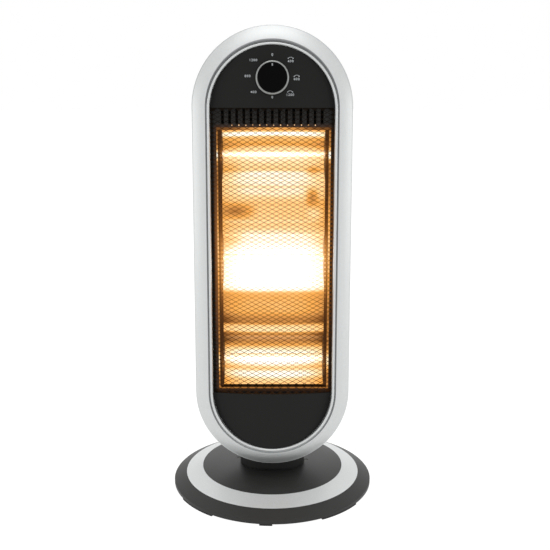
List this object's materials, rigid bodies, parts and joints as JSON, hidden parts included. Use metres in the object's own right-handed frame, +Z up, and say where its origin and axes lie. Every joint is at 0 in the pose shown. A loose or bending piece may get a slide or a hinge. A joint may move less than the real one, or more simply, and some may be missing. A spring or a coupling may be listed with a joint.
{
  "type": "halogen heater",
  "caption": "Free-standing halogen tower heater: leaning rounded head with glowing quartz tubes behind a bowed guard, control knob, and a round base that swings the head.",
  "frame": {"origin": "centre of the round base on the floor, at the underside of the feet", "axes": "+Z up along the swing axis, -Y the way the guard faces, +X to the right seen from the front"},
  "size_m": [0.28, 0.28, 0.6304],
  "materials": {
    "base_plastic": "fine moulded texture",
    "silver_paint": "metallic silver paint, satin",
    "foot_rubber": "matt",
    "zinc_steel": "zinc plated",
    "motor_metal": "plain",
    "white_nylon": "moulded",
    "switch_plastic": "moulded",
    "panel_plastic": "satin black",
    "guard_steel": "black heat-resistant paint",
    "plate_steel": "black heat-resistant paint",
    "mirror_aluminium": "polished",
    "end_steel": "heat-tinted",
    "quartz": "clear",
    "glowing_wire": "glowing",
    "ceramic": "unglazed ceramic",
    "knob_black": "glossy",
    "pointer_white": "glossy",
    "housing_black": "fine moulded texture"
  },
  "bodies": {
    "base": {"base_cover": "base_plastic", "base_ring": "silver_paint", "base_plate": "zinc_steel", "foot_pads": "foot_rubber", "foot_tabs": "foot_rubber", "ballast_ring": "zinc_steel", "swing_motor": "motor_metal", "motor_screws": "zinc_steel", "wear_washer": "white_nylon", "cover_screws": "zinc_steel", "base_screws": "zinc_steel", "tip_switch": "switch_plastic", "plunger_spring": "zinc_steel"},
    "crank": {"crank_disc": "white_nylon", "crank_pin": "zinc_steel"},
    "plunger": {"tip_plunger": "white_nylon"},
    "head": {"neck": "housing_black", "swing_lever": "zinc_steel", "lever_screws": "zinc_steel", "front_frame": "silver_paint", "insert_carrier": "panel_plastic", "control_panel": "panel_plastic", "lower_panel": "panel_plastic", "guard_mesh": "guard_steel", "window_plate": "plate_steel", "plate_screws": "zinc_steel", "heat_shield": "mirror_aluminium", "reflector": "mirror_aluminium", "reflector_end_left": "end_steel", "reflector_end_right": "end_steel", "tube_lower": "quartz", "tube_middle": "quartz", "tube_upper": "quartz", "filament_lower": "glowing_wire", "filament_middle": "glowing_wire", "filament_upper": "glowing_wire", "tube_caps": "ceramic", "rotary_switch": "switch_plastic", "thermal_cutout": "switch_plastic", "terminal_block": "ceramic", "rear_housing": "housing_black", "housing_screws": "zinc_steel", "neck_screws": "zinc_steel", "cord_gland": "foot_rubber"},
    "knob": {"knob_cap": "knob_black", "knob_ring": "silver_paint", "knob_pointer": "pointer_white", "switch_shaft": "zinc_steel"}
  },
  "joints": [
    {"name": "head_swing", "type": "hinge", "parent": "base", "child": "head", "pos_m": [0, 0, 0.027], "axis": [0, 0, 1], "range_deg": [-35, 35]},
    {"name": "crank_spin", "type": "hinge", "parent": "base", "child": "crank", "pos_m": [0, -0.02, 0.02], "axis": [0, 0, 1], "range_deg": [-105, 105]},
    {"name": "knob_turn", "type": "hinge", "parent": "head", "child": "knob", "pos_m": [0, -0.05707, 0.56606], "axis": [0, -0.999, 0.0436], "continuous": true},
    {"name": "tip_slide", "type": "slide", "parent": "base", "child": "plunger", "axis": [0, 0, -1], "range_m": [0, 0.005], "stiffness_N_per_m": 60, "springref_m": 0.008, "deforming": ["plunger_spring"]}
  ],
  "couplings": [
    {"joint": "crank_spin", "follows": "head_swing", "ratio": 3}
  ]
}
